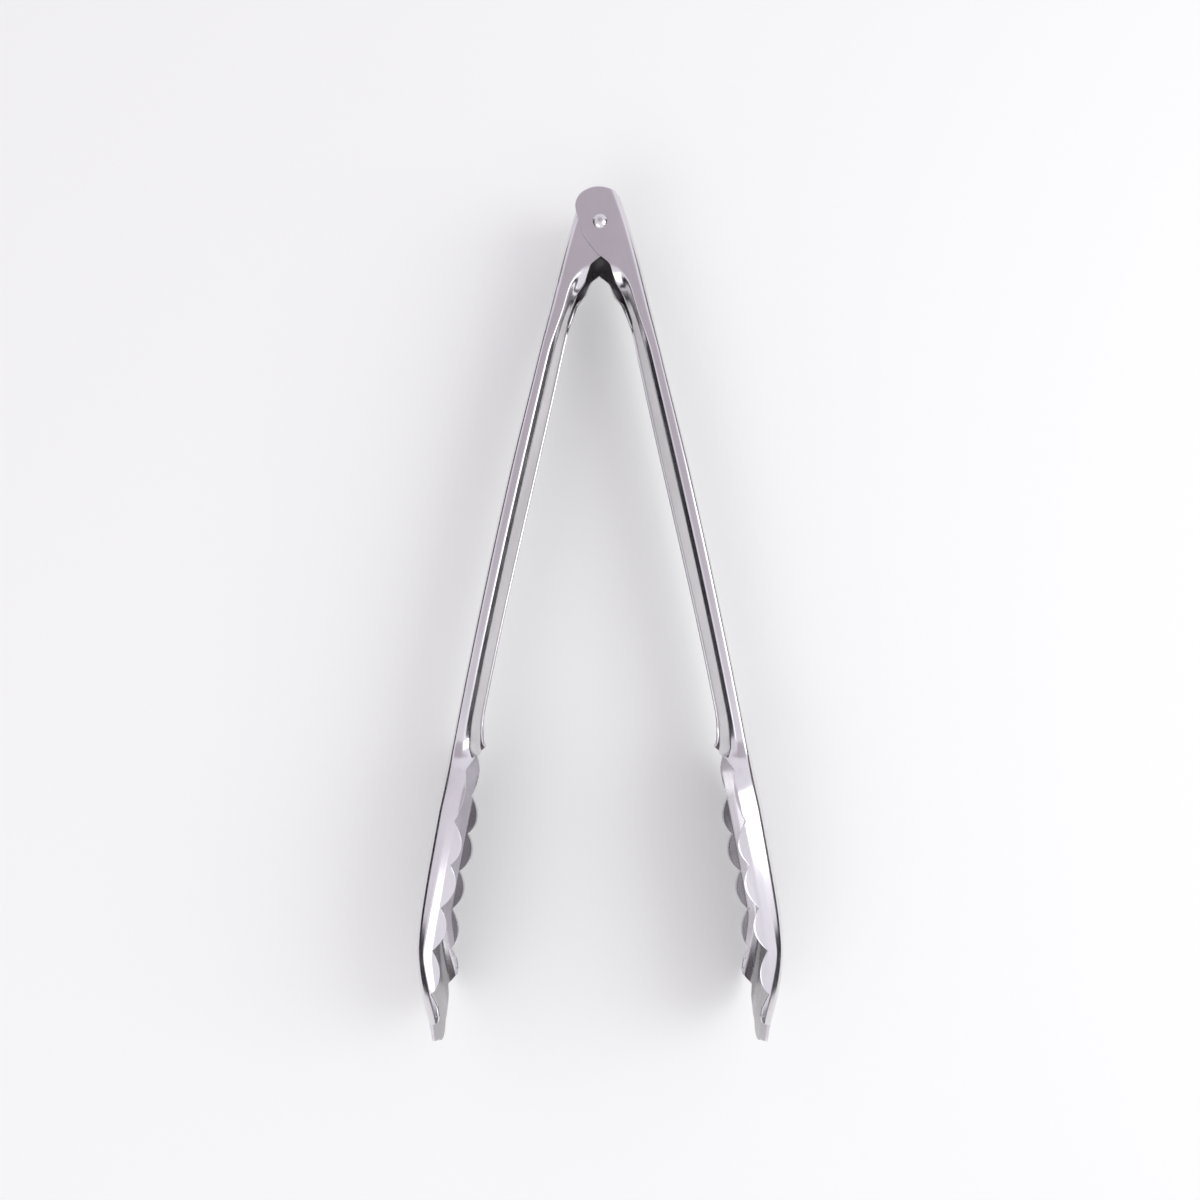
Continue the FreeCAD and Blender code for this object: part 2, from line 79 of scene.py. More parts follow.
def curveThrough(knots, at):
    # monotone cubic: each span is a Hermite cubic whose end slopes are the
    # harmonic means of the neighbouring chord slopes, or zero at a turning point
    x, y = np.array(knots, float).T
    rise = np.diff(y) / np.diff(x)
    before, after = rise[:-1], rise[1:]
    same = before * after > 0
    total = np.where(same, before + after, 1.0)
    inner = np.where(same, 2 * before * after / total, 0.0)
    slope = np.concatenate([rise[:1], inner, rise[-1:]])
    at = np.clip(np.asarray(at, float), x[0], x[-1])
    i = np.clip(np.searchsorted(x, at, side="right") - 1, 0, len(x) - 2)
    span = x[i + 1] - x[i]
    t = (at - x[i]) / span
    ends = y[i] * (1 + 2 * t) * (1 - t) ** 2 + y[i + 1] * t * t * (3 - 2 * t)
    return ends + span * t * (1 - t) * (slope[i] * (1 - t) - slope[i + 1] * t)


def alongHandle(share):
    # reach at a share of the way from the cheek's curl to the head's shoulder
    return curl + share * (shoulder - curl)


spine0, spine1 = arm["spineHinge"], arm["spineShoulder"]
spineOut = [
    (skinStart, spine0 - arm["spineDrop"]), (0.0, spine0), (12.0, spine0 + 1.1),
    (24.0, spine0 + 1.8), (alongHandle(0.1), spine1 - 3.3), (alongHandle(0.4), spine1 - 1.2),
    (alongHandle(0.7), spine1 - 0.25), (alongHandle(0.9), spine1), (tip - 98, spine1),
    (tip - 64, spine1 - 0.4), (tip - 49, spine1 - 0.9),
    (tip - 38, spine1 - 2.1), (tip - 28, rim + 3.6), (tip - 18, rim + 0.4), (tip - 9, 4.1),
    (tip, 1.0), (skinEnd, 0.5),
]
landOut = [
    (skinStart, -3.0), (8.0, -3.0), (cheek - 3.6, -1.0), (cheek + 1.2, 3.2), (cheek + 8.2, 5.9),
    (curl - 2, 6.7), (alongHandle(0.1), 8.9), (alongHandle(0.95), 12.1), (shoulder + 6, 11.8),
    (shoulder + 12, 11.2), (tip - 80, 11.0), (tip - 38, 10.6), (tip - 26, 7.0), (tip - 12, 1.6),
    (skinEnd, -1.0),
]
creaseOut = [
    (skinStart, -6.5), (8.0, -6.5), (cheek - 3.6, -2.4), (cheek + 1.2, 1.5), (cheek + 8.2, 4.5),
    (curl - 2, 5.6), (alongHandle(0.1), 7.25), (alongHandle(0.95), 10.4), (shoulder + 3, 9.7),
    (shoulder + 7, 8.4), (shoulder + 12, 8.2), (tip - 80, rim + 0.4), (tip - 38, rim),
    (tip - 26, 4.6), (tip - 12, 0.2), (skinEnd, -1.6),
]
edgeOut = [
    (skinStart, -10.0), (8.0, -10.0), (cheek - 3.6, -4.8), (cheek + 1.2, -0.6), (cheek + 9.5, 2.3),
    (curl - 2, 3.9), (curl + 2, 4.75), (alongHandle(0.1), 4.95), (alongHandle(0.95), 8.0),
    (shoulder + 3, 6.6), (shoulder + 7, 4.9), (shoulder + 11, 4.6),
    (tip - 80, rim - arm["scallopDepth"] - 0.9), (tip - 38, rim - arm["scallopDepth"] - 1.5),
    (tip - 26, 0.4), (tip - 12, -1.4), (skinEnd, -2.2),
]
cornerRound = [
    (shoulder, arm["spineBend"]), (shoulder + 27, arm["spineBend"] + 3.4),
    (tip - 30, arm["spineBend"] + 3.4), (tip, arm["spineBend"] + 1.4),
]
valleyLine = [
    (rimStart, 5.3), (notch, rim + 1.2), (firstValley, rim + 1.2),
    (firstValley + arm["scallopPitch"], rim - 0.4), (firstValley + 2 * arm["scallopPitch"], rim),
    (firstValley + 3 * arm["scallopPitch"], rim + 0.1), (lastValley, rim - 2.2),
    (frontValley, 2.6), (tip - 6.0, 0.0), (skinEnd, 0.0),
]
cheekEdge = [
    (arm["earSideReach"], -arm["earSide"]), (-1.0, 0.45 - arm["earSide"]), (1.8, 0.75 - arm["earSide"]),
    (5.9, 2.2 - arm["earSide"]), (cheek - 4.4, -2.6), (cheek, 0.6), (cheek + 4.9, 1.2),
    (cheek + 9.55, 3.15), (cheek + 14.2, 4.05), (curl, 4.75),
]


def widthRails(cheekHalf):
    # half widths of the corner, land, crease and edge rails along the arm
    full, edge = arm["cheekHalf"], arm["edgeHalf"]
    flat = [(skinStart, cheekHalf), (cheek + 2.5, cheekHalf), (curl + 11, full)]
    land = flat + [
        (shoulder + 2, full), (shoulder + 7, full + 1.1), (shoulder + 11, full + 3.7),
        (shoulder + 18, headHalf - 3.0), (shoulder + 27, headHalf - 1.4),
        (tip - 60, headHalf - 0.7), (tip - 30, headHalf - 0.7), (skinEnd, headHalf - 2.2),
    ]
    corner = flat + [
        (shoulder + 2, full), (shoulder + 7, full + 0.8), (shoulder + 11, full + 2.6),
        (shoulder + 18, headHalf - 4.8), (shoulder + 27, headHalf - 3.0),
        (tip - 60, headHalf - 2.4), (tip - 30, headHalf - 2.6), (tip - 12, headHalf - 5.6),
        (skinEnd, headHalf - 6.6),
    ]
    crease = [
        (skinStart, cheekHalf), (cheek - 2.0, cheekHalf), (cheek + 1.2, cheekHalf - 0.3),
        (cheek + 8.2, cheekHalf - 1.7), (curl, full - 1.9), (alongHandle(0.1), full - 1.5),
        (shoulder, full - 1.5), (shoulder + 3.5, full - 1.0), (shoulder + 7, full + 0.6),
        (shoulder + 11, full + 4.2), (shoulder + 18, headHalf - 2.0),
        (shoulder + 27, headHalf - 0.6), (tip - 60, headHalf), (tip - 30, headHalf),
        (skinEnd, headHalf - 1.0),
    ]
    rolled = [
        (skinStart, cheekHalf), (cheek - 2.0, cheekHalf), (cheek + 1.2, cheekHalf - 0.7),
        (cheek + 5.2, cheekHalf - 2.3), (cheek + 9.5, edge + 1.9), (cheek + 13, edge + 0.5),
        (curl - 1, edge), (shoulder - 2, edge), (shoulder + 3.5, edge + 1.6),
        (shoulder + 7, edge + 5.8), (shoulder + 11, headHalf - 5.2),
        (shoulder + 18, headHalf - 1.6), (shoulder + 27, headHalf - 0.7),
        (tip - 60, headHalf - 1.0), (tip - 30, headHalf - 0.4), (skinEnd, headHalf),
    ]
    return corner, land, crease, rolled


def rimOut(reach):
    # the cut edge: the cheek's outline, nothing along the handle, then a valley line
    # with parabolic scallops hanging below it between neighbouring valleys
    pitch = arm["scallopPitch"]
    line = curveThrough(valleyLine, reach)
    start = firstValley + pitch * np.floor((reach - firstValley) / pitch)
    end, height = start + pitch, np.full_like(reach, arm["scallopDepth"])
    opening, closing = reach < firstValley, reach >= lastValley
    start, end = np.where(opening, notch, start), np.where(opening, firstValley, end)
    start, end = np.where(closing, lastValley, start), np.where(closing, frontValley, end)
    height = np.where(closing, arm["frontScallop"], height)
    height = np.where(opening, arm["openingScallop"], height)
    across = 2 * (reach - start) / (end - start) - 1
    scalloped = (reach > notch) & (reach < frontValley)
    cut = line - np.where(scalloped, height * (1 - across**2), 0.0)
    cut = np.where(reach < rimStart, -arm["headHalf"], cut)  # lower than any edge
    return np.where(reach <= curl, curveThrough(cheekEdge, reach), cut)


def circleTop(a, peak, b, at):
    # height over each x in `at` of the circle through three points (x, y), on its upper
    # side: the centre's height plus the root of radius squared less the offset squared
    (ax, ay), (bx, by), (cx, cy) = a, peak, b
    aa, bb, cc = ax**2 + ay**2, bx**2 + by**2, cx**2 + cy**2
    double = 2 * (ax * (by - cy) + bx * (cy - ay) + cx * (ay - by))
    centreX = (aa * (by - cy) + bb * (cy - ay) + cc * (ay - by)) / double
    centreY = (aa * (cx - bx) + bb * (ax - cx) + cc * (bx - ax)) / double
    radius = math.hypot(ax - centreX, ay - centreY)
    return centreY + np.sqrt(np.maximum(radius**2 - (at - centreX) ** 2, 0.0))


def earStart(out, isInner):
    # reach where the ear begins over each out: three arcs over its top, and on the
    # inner arm the straight cut that clears the outer arm's bend
    top, side = arm["earTop"], arm["earSide"]
    spineTop = (spine0 - 1.4, top - 4.3)
    spineRound = (spine0 - 2.9, top - 1.75)
    earRound = (-0.55 * side, top - 0.95)
    corner = (-side, -arm["earSideReach"])
    right = circleTop(spineTop, (spine0 - 1.85, top - 2.8), spineRound, out)
    middle = circleTop(spineRound, (1.3, top), earRound, out)
    left = circleTop(earRound, (-0.9 * side, top - 3.5), corner, out)
    height = np.where(out > spineRound[0], right, np.where(out > earRound[0], middle, left))
    height = np.where(out >= spineTop[0], spineTop[1], height)
    height = np.where(out <= -side, -arm["earSideReach"], height)
    if not isInner:
        return -height
    lean = math.atan2(arm["spineDrop"], -skinStart)
    turn = lean + 2 * math.radians(arm["openAngle"])
    reachOfPlane = spine0 * math.cos(lean) - arm["spineBend"] - arm["stopClearance"]
    stop = (-out * math.cos(turn) - reachOfPlane) / math.sin(turn)
    return np.maximum(-height, stop)


def tipReach(half):
    # reach of the scalloped front over each half width: a middle lobe and two on each
    # side, each one the arc over its chord that bows out by the lobe's height
    middle, side, outside = headHalf * 0.35, headHalf - 5.0, headHalf + 1.2
    lobes = [
        ((-middle, tip - 3.1), (middle, tip - 3.1), 3.1),
        ((middle, tip - 3.1), (side, frontValley), 2.7),
        ((side, frontValley), (outside, tip - 23.5), 2.7),
    ]
    result = np.zeros_like(half)
    for start, end, height in lobes:
        chord = np.subtract(end, start)
        normal = np.array([-chord[1], chord[0]]) / np.hypot(*chord)
        peak = np.add(start, end) / 2 + normal * height
        over = circleTop(start, tuple(peak), end, half)
        result = np.where((half >= max(start[0], 0.0)) & (half <= end[0]), over, result)
    return result


# how a section's corners are rounded, and how many grid columns each stretch gets
bending = {
    "most": 0.48, "mostAtSpine": 0.9, "pull": 0.55,
    "bendColumns": (8, 4, 4), "runColumns": (7, 7, 4, 5),
}


def roundedPath(points, cuts):
    # straight runs between points with a cubic bend at each inner corner, its handles
    # pulled towards the corner; every point is an array over the sections, so the
    # whole skin comes at once
    pieces, here = [], points[0]
    for before, corner, after, cut, bend, run in zip(
        points, points[1:], points[2:], cuts, bending["bendColumns"], bending["runColumns"]
    ):
        back, ahead = before - corner, after - corner
        backLength = np.linalg.norm(back, axis=1, keepdims=True)
        aheadLength = np.linalg.norm(ahead, axis=1, keepdims=True)
        mostBack = bending["mostAtSpine"] if before is points[0] else bending["most"]
        limit = np.minimum(mostBack * backLength, bending["most"] * aheadLength)
        cut = np.minimum(np.reshape(cut, (-1, 1)), limit)
        begin = corner + back / np.maximum(backLength, 1e-6) * cut
        end = corner + ahead / np.maximum(aheadLength, 1e-6) * cut
        for t in np.linspace(0, 1, run, endpoint=False):
            pieces.append(here + (begin - here) * t)
        first = begin + (corner - begin) * bending["pull"]
        last = end + (corner - end) * bending["pull"]
        for t in np.linspace(0, 1, bend, endpoint=False):
            arc = begin * (1 - t) ** 3 + first * (3 * t * (1 - t) ** 2)
            pieces.append(arc + last * (3 * t * t * (1 - t)) + end * t**3)
        here = end
    for t in np.linspace(0, 1, bending["runColumns"][-1]):
        pieces.append(here + (points[-1] - here) * t)
    return np.stack(pieces, axis=1)


def sectionPoints(reach, rails):
    # upper half of each section as (out, half): spine, bend, land, crease, cut edge;
    # where the cut crosses the section, the section ends there
    corner, land, crease, rolled = rails

    def railPoint(outKnots, halfKnots):
        return np.stack([curveThrough(outKnots, reach), curveThrough(halfKnots, reach)], 1)

    spine = curveThrough(spineOut, reach)
    middle = np.stack([spine, np.zeros_like(spine)], 1)
    bend = railPoint(spineOut, corner)
    landEnd, creaseEnd = railPoint(landOut, land), railPoint(creaseOut, crease)
    edgeEnd = railPoint(edgeOut, rolled)
    cut = rimOut(reach)
    past = edgeEnd[:, 0] < cut
    onEdge = creaseEnd[:, 0] > cut
    start = np.where(onEdge[:, None], creaseEnd, landEnd)
    end = np.where(onEdge[:, None], edgeEnd, creaseEnd)
    share = (start[:, 0] - cut) / np.maximum(start[:, 0] - end[:, 0], 1e-6)
    trimmed = start + (end - start) * share[:, None]
    edgeEnd = np.where(past[:, None], trimmed, edgeEnd)
    shortened = landEnd + (edgeEnd - landEnd) * 0.6
    creaseEnd = np.where((past & ~onEdge)[:, None], shortened, creaseEnd)
    cuts = [curveThrough(cornerRound, reach)]
    cuts += [np.full_like(reach, arm[key]) for key in ("landRound", "creaseRound")]
    return roundedPath([middle, bend, landEnd, creaseEnd, edgeEnd], cuts)


def stationList():
    # reaches of the grid rows: close together at the ear, neck and scallops, and
    # exactly on every valley so that the cusps stay sharp
    pitch = arm["scallopPitch"]
    spans = [  # from, to, rows
        (-1.0, 0.0, 22), (0.0, cheek, 24), (cheek, curl, 34), (curl, alongHandle(0.1), 12),
        (alongHandle(0.1), shoulder - 4, 46), (shoulder - 4, rimStart, 18), (rimStart, notch, 14),
        (notch, firstValley, 30),
    ]
    for k in range(arm["scallopCount"]):
        spans.append((firstValley + k * pitch, firstValley + (k + 1) * pitch, 26))
    spans += [(lastValley, fanStart, 8), (fanStart, tip, 44)]
    rows = [np.linspace(start, end, count, endpoint=False) for start, end, count in spans]
    return np.concatenate(rows + [np.array([tip])])


def armSkin(cheekHalf, isInner):
    # outside of the sheet on a grid: row k crosses the arm at one reach, column j
    # follows one line of the section; the first rows are drawn out to the ear's
    # outline and the last ones to the scalloped front
    rails = widthRails(cheekHalf)
    rows = stationList()
    earRows, frontRows = rows < 0, rows > fanStart
    atEar = sectionPoints(np.array([arm["earSideReach"]]), rails)[0]
    starts = earStart(atEar[:, 0], isInner)
    columns = atEar.shape[0]
    reach = np.repeat(rows[:, None], columns, axis=1)
    reach[earRows] = -rows[earRows][:, None] * starts[None, :]
    ends = np.full(columns, tip)
    own = np.arange(columns)
    for _ in range(6):  # the half width of a column changes with its own end
        ends = tipReach(sectionPoints(ends, rails)[own, own, 1])
    share = (rows[frontRows] - fanStart) / (tip - fanStart)
    reach[frontRows] = fanStart + share[:, None] * (ends[None, :] - fanStart)
    sections = sectionPoints(reach.ravel(), rails).reshape(len(rows), columns, columns, 2)
    out, half = np.moveaxis(sections[:, own, own], -1, 0)

    def bothHalves(upper, sign):
        return np.concatenate([sign * upper[:, :0:-1], upper], axis=1)

    return bothHalves(reach, 1), bothHalves(out, 1), bothHalves(half, -1)


def gridMesh(points, closedAcross=False):
    # quads between neighbouring rows and columns of a (rows, columns, 3) grid
    rowCount, columnCount = points.shape[:2]
    ids = np.arange(rowCount * columnCount).reshape(rowCount, columnCount)
    if closedAcross:
        ids = np.concatenate([ids, ids[:, :1]], axis=1)
    quads = np.stack([ids[:-1, :-1], ids[:-1, 1:], ids[1:, 1:], ids[1:, :-1]], axis=-1)
    return points.reshape(-1, 3), quads.reshape(-1, 4)


def addPiece(name, vertices, faces, body, node):
    # one mesh at the origin that stands for its CAD node and rides on its body
    mesh = bpy.data.meshes.new(name)
    mesh.from_pydata(vertices.tolist(), [], faces)
    mesh.validate()
    mesh.polygons.foreach_set("use_smooth", np.ones(len(mesh.polygons), bool))
    mesh.update()
    piece = bpy.data.objects.new(name, mesh)
    bpy.context.scene.collection.objects.link(piece)
    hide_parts(node)
    if body:
        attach(piece, body)
    return piece


def worldPoints(out, reach, half, side):
    # turn by the open angle about the rivet; side is -1 for the mirrored inner arm
    angle = math.radians(arm["openAngle"])
    x = out * math.cos(angle) + reach * math.sin(angle)
    y = out * math.sin(angle) - reach * math.cos(angle)
    return np.stack([side * x, y, half], axis=-1) * mm + pivot


def makeArm(name, node, body, cheekHalf, side):
    # the outer skin, with the wall added inwards and the sheet's corners bevelled
    reach, out, half = armSkin(cheekHalf, side < 0)
    vertices, quads = gridMesh(worldPoints(out, reach, half, side))
    if side < 0:  # the mirrored grid would face inwards
        quads = quads[:, ::-1]
    piece = addPiece(name, vertices, quads.tolist(), body, node)
    sheet = piece.modifiers.new("sheet", "SOLIDIFY")
    sheet.thickness = arm["wall"] * mm
    sheet.offset = -1.0
    sheet.material_offset = 1  # the inner wall takes the second steel: rougher, and darker in colour as painted shade for the channel's inside
    soft = piece.modifiers.new("edges", "BEVEL")
    soft.width = arm["bevel"] * mm
    soft.segments = 1
    soft.limit_method = "ANGLE"
    soft.angle_limit = math.radians(arm["bevelAngle"])
    return piece


innerHalf = arm["cheekHalf"] - arm["wall"] - arm["nestGap"]
outerPiece = makeArm("outer_arm_sheet", "outer_arm", "outer_arm", arm["cheekHalf"], 1)
innerPiece = makeArm("inner_arm_sheet", "inner_arm", "inner_arm", innerHalf, -1)
print("arms pressed:", len(outerPiece.data.polygons), "faces each")

rivet = {
    "shank": 1.5, "head": 2.5, "headHeight": 1.3, "headEdge": 0.25, "tail": 2.3,
    "tailHeight": 0.8, "tailEdge": 0.15, "around": 64, "domeRings": 14,
}


def makeRivet():
    # profile (radius, height) turned about the hinge axis; domes are circle arcs
    # from a small upright edge to the pole
    base = arm["cheekHalf"]

    def dome(radius, height, edge):
        rise = height - edge
        bow = (radius**2 + rise**2) / (2 * rise)
        angle = np.linspace(math.asin(radius / bow), 0, rivet["domeRings"])
        return np.stack([bow * np.sin(angle), base + edge + rise - bow * (1 - np.cos(angle))], 1)

    top = dome(rivet["head"], rivet["headHeight"], rivet["headEdge"])
    low = dome(rivet["tail"], rivet["tailHeight"], rivet["tailEdge"])
    low[:, 1] *= -1
    shankRun = [(rivet["shank"], -base), (rivet["shank"], base)]
    profile = np.array([*low[::-1], (rivet["tail"], -base), *shankRun, (rivet["head"], base), *top])
    around = rivet["around"]
    turn = np.linspace(0, 2 * math.pi, around, endpoint=False)
    radius, height = profile[1:-1, :1], profile[1:-1, 1:]
    rings = [radius * np.cos(turn), radius * np.sin(turn), np.repeat(height, around, 1)]
    vertices, quads = gridMesh(np.stack(rings, axis=-1) * mm + pivot, True)
    poles = np.array([(0, 0, profile[0, 1]), (0, 0, profile[-1, 1])]) * mm + pivot
    count = len(vertices)
    first = np.arange(around)
    following, lastRow = np.roll(first, -1), count - around
    tailCap = np.stack([np.full(around, count), following, first], 1)
    headCap = np.stack([np.full(around, count + 1), lastRow + first, lastRow + following], 1)
    faces = quads.tolist() + tailCap.tolist() + headCap.tolist()
    vertices = np.concatenate([vertices, poles])
    return addPiece("rivet_turned", vertices, faces, "outer_arm", "pivot_rivet")


rivetPiece = makeRivet()
print("rivet turned")

spring = {
    "coil": 3.7, "wire": 0.65, "gap": 0.15, "turns": 5, "legReach": 28.0, "contact": 0.05,
    "around": 14, "coilRings": 420, "legRings": 30,
}


def makeSpring():
    # a round section carried along leg, helix and leg; the legs leave the helix
    # along its tangent, and each ring stands square to the path
    r, wire = spring["coil"], spring["wire"]
    reach, opened = spring["legReach"], math.radians(arm["openAngle"])
    out = float(curveThrough(spineOut, reach)) - arm["wall"] - wire - spring["contact"]
    far = math.hypot(out, reach)
    start = math.acos(r / far) - math.atan2(reach, out) + opened
    sweep = math.pi - 2 * start + 2 * math.pi * spring["turns"]
    pitch = 2 * wire + spring["gap"]
    climb = pitch / (2 * math.pi)
    legLength = math.sqrt(far**2 - r**2)
    angle = start + np.linspace(0, sweep, spring["coilRings"])
    coil = np.stack([r * np.cos(angle), r * np.sin(angle), (angle - start - sweep / 2) * climb], 1)
    slope = climb / r
    first = np.array([-math.sin(start), math.cos(start), slope])
    last = np.array([-math.sin(start), -math.cos(start), slope])
    run = np.linspace(legLength, 0, spring["legRings"], endpoint=False)[:, None]
    path = np.concatenate([coil[0] - first * run, coil, coil[-1] + last * run[::-1]])
    along = np.gradient(path, axis=0)
    along /= np.linalg.norm(along, axis=1, keepdims=True)
    sideways = np.cross(along, [0.0, 0.0, 1.0])
    sideways /= np.linalg.norm(sideways, axis=1, keepdims=True)
    upward = np.cross(sideways, along)
    turn = np.linspace(0, 2 * math.pi, spring["around"], endpoint=False)[:, None]
    ring = sideways[:, None] * np.cos(turn) + upward[:, None] * np.sin(turn)
    vertices, quads = gridMesh((path[:, None] + ring * wire) * mm + pivot, True)
    firstEnd = np.arange(spring["around"])
    lastEnd = len(vertices) - 1 - firstEnd
    faces = quads[:, ::-1].tolist() + [firstEnd.tolist(), lastEnd.tolist()]
    piece = addPiece("spring_wound", vertices, faces, None, "torsion_spring")
    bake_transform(piece)
    return piece


springPiece = makeSpring()
print("spring wound")


class Wire:
    # a shader socket that takes part in python arithmetic
    def __init__(self, tree, socket):
        self.tree, self.socket = tree, socket

    def combine(self, operation, first, second):
        node = self.tree.nodes.new("ShaderNodeMath")
        node.operation = operation
        for slot, value in zip(node.inputs, (first, second)):
            if isinstance(value, Wire):
                self.tree.links.new(value.socket, slot)
            else:
                slot.default_value = value
        return Wire(self.tree, node.outputs[0])

    def __add__(self, other):
        return self.combine("ADD", self, other)

    def __radd__(self, other):
        return self.combine("ADD", other, self)

    def __mul__(self, other):
        return self.combine("MULTIPLY", self, other)

    def __rmul__(self, other):
        return self.combine("MULTIPLY", other, self)

    def __sub__(self, other):
        return self.combine("SUBTRACT", self, other)

    def __rsub__(self, other):
        return self.combine("SUBTRACT", other, self)


class Graph:
    # a node tree that is filled by one method
    def __init__(self, tree):
        self.tree = tree
        tree.nodes.clear()

    def node(self, kind, settings=None, values=None, output=0):
        made = self.tree.nodes.new(kind)
        for key, value in (settings or {}).items():
            if key == "stops":
                ramp = made.color_ramp.elements
                while len(ramp) < len(value):
                    ramp.new(0.5)
                for element, (position, color) in zip(ramp, value):
                    element.position = position
                    element.color = color
            else:
                setattr(made, key, value)
        for key, value in (values or {}).items():
            slot = made.inputs[key]
            if isinstance(value, Wire):
                self.tree.links.new(value.socket, slot)
            else:
                slot.default_value = value
        return Wire(self.tree, made.outputs[output]) if len(made.outputs) else None


marks = {
    "smudgeScale": 55.0, "smudgeFrom": 0.35, "smudgeTo": 0.7, "smudgeShare": 0.7, "grainShare": 0.3,
    "waveScale": 38.0, "scratchTurn": (0.3, 0.2, 0.5), "scratchStretch": (900.0, 60.0, 400.0),
    "scratchFrom": 0.66, "scratchTo": 0.74, "scratchRough": 0.05, "bumpDistance": 0.001,
}


def steel(name, look, turn=0.0):
    # metal with rolling marks along the piece, soft waviness, smudges and fine scratches:
    # colour runs from light to dark with smudge and grain, roughness rises with both
    material = bpy.data.materials.new(name)
    material.use_nodes = True
    graph = Graph(material.node_tree)

    def noise(vector, scale, detail, roughness=0.5):
        values = {"Vector": vector, "Scale": scale, "Detail": detail, "Roughness": roughness}
        return graph.node("ShaderNodeTexNoise", None, values)

    def mapped(**values):
        return graph.node("ShaderNodeMapping", None, values)

    def rise(value, low, high):  # 0 up to low, 1 from high on, straight in between
        values = {0: value, 1: low, 2: high, 3: 0.0, 4: 1.0}
        return graph.node("ShaderNodeMapRange", {"clamp": True}, values)

    place = graph.node("ShaderNodeTexCoord", output=3)
    aligned = mapped(Vector=place, Rotation=(0, 0, math.radians(turn)))
    stretched = mapped(Vector=aligned, Scale=look["grainStretch"])
    grain = noise(stretched, look["grainScale"], 5.0)
    smudge = noise(aligned, marks["smudgeScale"], 4.0, 0.6)
    wave = noise(aligned, marks["waveScale"], 1.0)
    scratchLines = mapped(
        Vector=aligned, Rotation=marks["scratchTurn"], Scale=marks["scratchStretch"]
    )
    scratch = noise(scratchLines, 1.0, 2.0)
    scratched = rise(scratch, marks["scratchFrom"], marks["scratchTo"])
    smudged = rise(smudge, marks["smudgeFrom"], marks["smudgeTo"])
    tone = smudged * marks["smudgeShare"] + grain * marks["grainShare"]
    color = graph.node(
        "ShaderNodeMix", {"data_type": "RGBA"}, {0: tone, 6: look["light"], 7: look["dark"]}, 2
    )
    roughness = look["rough"] + look["roughSpread"] * smudged + look["grainRough"] * grain
    roughness = roughness + marks["scratchRough"] * scratched
    height = grain * look["grainBump"] + wave * look["waveBump"] - scratched * look["scratchBump"]
    normal = graph.node("ShaderNodeBump", None, {
        "Strength": 1.0, "Distance": marks["bumpDistance"], "Height": height,
    })
    shader = graph.node("ShaderNodeBsdfPrincipled", None, {
        "Base Color": color, "Metallic": 1.0, "Roughness": roughness, "Normal": normal,
    })
    graph.node("ShaderNodeOutputMaterial", None, {"Surface": shader})
    return material


armLook = {
    "light": (0.80, 0.785, 0.80, 1), "dark": (0.70, 0.685, 0.70, 1), "rough": 0.13,
    "roughSpread": 0.07, "grainRough": 0.08, "grainStretch": (900.0, 30.0, 900.0),
    "grainScale": 1.0, "grainBump": 0.006, "waveBump": 0.09, "scratchBump": 0.004,
}
# painted shade: the inner wall's steel is darker in colour to stand for the shade inside the channel;
# only its higher roughness is the sheet's own
insideShadedLook = dict(armLook, light=(0.50, 0.485, 0.50, 1), dark=(0.38, 0.365, 0.38, 1), rough=0.2)
rivetLook = dict(armLook, rough=0.16, grainStretch=(700.0, 700.0, 90.0), waveBump=0.02)
springLook = dict(
    armLook, light=(0.62, 0.61, 0.62, 1), dark=(0.45, 0.44, 0.45, 1), rough=0.22,
    grainStretch=(300.0, 300.0, 2500.0),
)
openAngle = arm["openAngle"]
for piece, place, turn in (
    (outerPiece, "outer arm", -openAngle), (innerPiece, "inner arm", openAngle)
):
    piece.data.materials.append(steel(place + " polished steel", armLook, turn))
    # the second material is the inner wall's steel, darkened as painted shade
    piece.data.materials.append(steel(place + " inside steel with painted shade", insideShadedLook, turn))
rivetPiece.data.materials.append(steel("rivet steel", rivetLook))
springPiece.data.materials.append(steel("spring wire steel", springLook))
print("steel made")

studio = {
    "floorColor": (0.905, 0.925, 0.885, 1), "floorSize": 6.0, "floorRough": 0.7,
    "floorSpecular": 0.1, "cameraHeight": 0.317, "pivotOffset": 0.129, "viewSlope": 0.66667,
    "clipStart": 0.01, "flagColor": (0.012, 0.01, 0.014, 1), "flagDistance": 0.6,
    "flagHeight": 0.34, "flagLength": 1.1, "flagFoot": 0.01, "worldStrength": 1.03,
    "tentLevel": 0.86, "tentSlope": 0.1, "patchToward": (0.0, 0.38, 0.925), "patchFrom": 0.82,
    "patchTo": 0.97, "patchDepth": 0.36,
    "tentStops": [
        (0.0, (0.03, 0.026, 0.034, 1)), (0.3, (0.27, 0.24, 0.27, 1)),
        (0.5, (0.52, 0.47, 0.53, 1)), (0.9, (0.90, 0.875, 0.95, 1)),
    ],
    "lights": [  # name, place, size, power
        ("key", (0.75, 0.05, 0.55), (0.5, 0.7), 2.3), ("fill", (-0.5, -0.7, 0.9), (0.9, 0.5), 2.0),
    ],
}


def stageSheet(name, materialName, points, kind, values):
    # a grid of points as a studio sheet with one plain shader
    vertices, quads = gridMesh(points)
    mesh = bpy.data.meshes.new(name)
    mesh.from_pydata(vertices.tolist(), [], quads.tolist())
    sheet = bpy.data.objects.new(name, mesh)
    bpy.context.scene.collection.objects.link(sheet)
    material = bpy.data.materials.new(materialName)
    material.use_nodes = True
    graph = Graph(material.node_tree)
    shader = graph.node(kind, None, values)
    graph.node("ShaderNodeOutputMaterial", None, {"Surface": shader})
    mesh.materials.append(material)
    return sheet


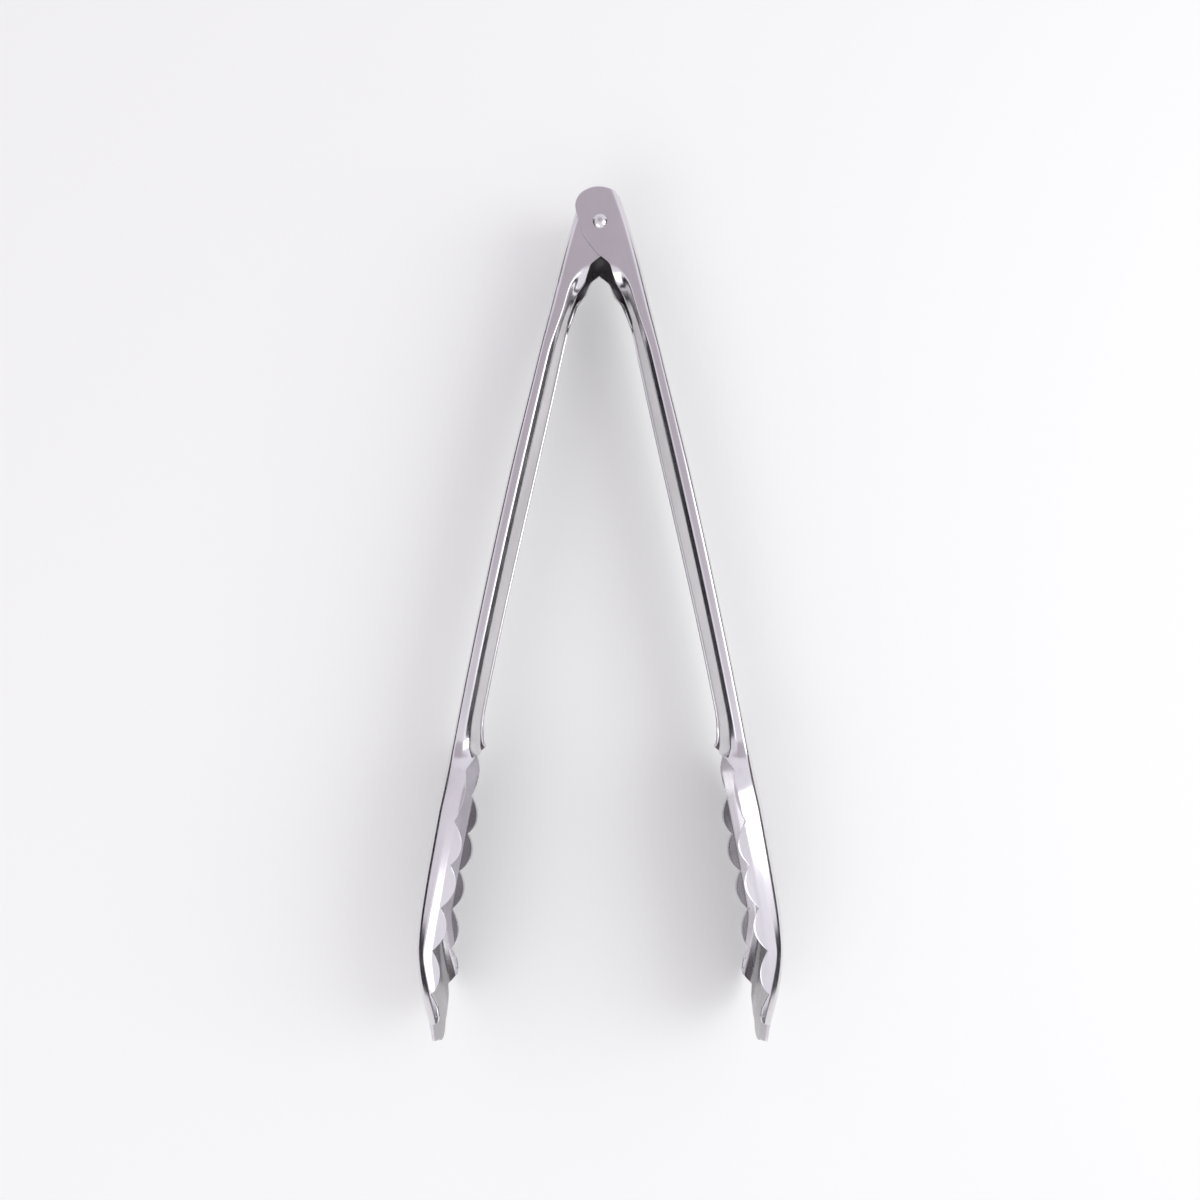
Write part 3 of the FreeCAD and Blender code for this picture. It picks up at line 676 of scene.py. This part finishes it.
def makeFloor():
    # a square grid lying on the plane that the heads rest on
    line = np.linspace(-0.5, 0.5, 9) * studio["floorSize"]
    x, y = np.meshgrid(line, line, indexing="xy")
    grid = np.stack([x, y, np.zeros_like(x)], -1)
    floor = stageSheet("floor", "pale floor", grid, "ShaderNodeBsdfPrincipled", {
        "Base Color": studio["floorColor"], "Roughness": studio["floorRough"],
        "Specular IOR Level": studio["floorSpecular"],
    })


def makeWorld():
    # a bright tent with a dim patch overhead on the hinge's side: the level rises with
    # x and falls where the direction's dot product with the patch's own is near 1
    world = bpy.data.worlds.new("studio")
    bpy.context.scene.world = world
    world.use_nodes = True
    graph = Graph(world.node_tree)
    toward = graph.node("ShaderNodeTexCoord")
    x = graph.node("ShaderNodeSeparateXYZ", None, {0: toward})
    nearPatch = graph.node(
        "ShaderNodeVectorMath", {"operation": "DOT_PRODUCT"}, {0: toward, 1: studio["patchToward"]}, 1
    )
    patch = graph.node("ShaderNodeMapRange", {"interpolation_type": "SMOOTHSTEP"}, {
        0: nearPatch, 1: studio["patchFrom"], 2: studio["patchTo"], 3: 0.0, 4: 1.0,
    })
    level = studio["tentLevel"] + studio["tentSlope"] * x - studio["patchDepth"] * patch
    shade = graph.node("ShaderNodeValToRGB", {"stops": studio["tentStops"]}, {"Fac": level})
    background = graph.node("ShaderNodeBackground", None, {
        "Color": shade, "Strength": studio["worldStrength"],
    })
    graph.node("ShaderNodeOutputWorld", None, {"Surface": background})


def addFlag(name, across):
    # an upright black card beside the tongs, seen only in polished steel
    along = np.linspace(-0.5, 0.5, 5) * studio["flagLength"]
    y, z = np.meshgrid(along, np.linspace(studio["flagFoot"], studio["flagHeight"], 3))
    grid = np.stack([np.full_like(y, across), y, z], -1)
    flag = stageSheet(name, name, grid, "ShaderNodeBsdfDiffuse", {"Color": studio["flagColor"]})
    flag.visible_camera = flag.visible_diffuse = flag.visible_shadow = False


def addLight(name, place, size, power):
    # a white panel turned to face the middle of the tongs
    data = bpy.data.lights.new(name, "AREA")
    data.shape = "RECTANGLE"
    data.size, data.size_y = size
    data.energy = power
    light = bpy.data.objects.new(name, data)
    light.location = place
    light.rotation_euler = (-Vector(place)).to_track_quat("-Z", "Y").to_euler()
    bpy.context.scene.collection.objects.link(light)


def makeCamera():
    # straight down, its half angle the arctangent of the view's slope
    data = bpy.data.cameras.new("camera")
    data.angle = 2 * math.atan(studio["viewSlope"])
    data.clip_start = studio["clipStart"]
    camera = bpy.data.objects.new("camera", data)
    camera.location = (0, pivot[1] - studio["pivotOffset"], pivot[2] + studio["cameraHeight"])
    bpy.context.scene.collection.objects.link(camera)
    bpy.context.scene.camera = camera


makeFloor()
makeWorld()
addFlag("right flag", studio["flagDistance"])
addFlag("left flag", -studio["flagDistance"])
for light in studio["lights"]:
    addLight(*light)
makeCamera()
bpy.context.scene.view_settings.view_transform = "Standard"
print("studio lit")
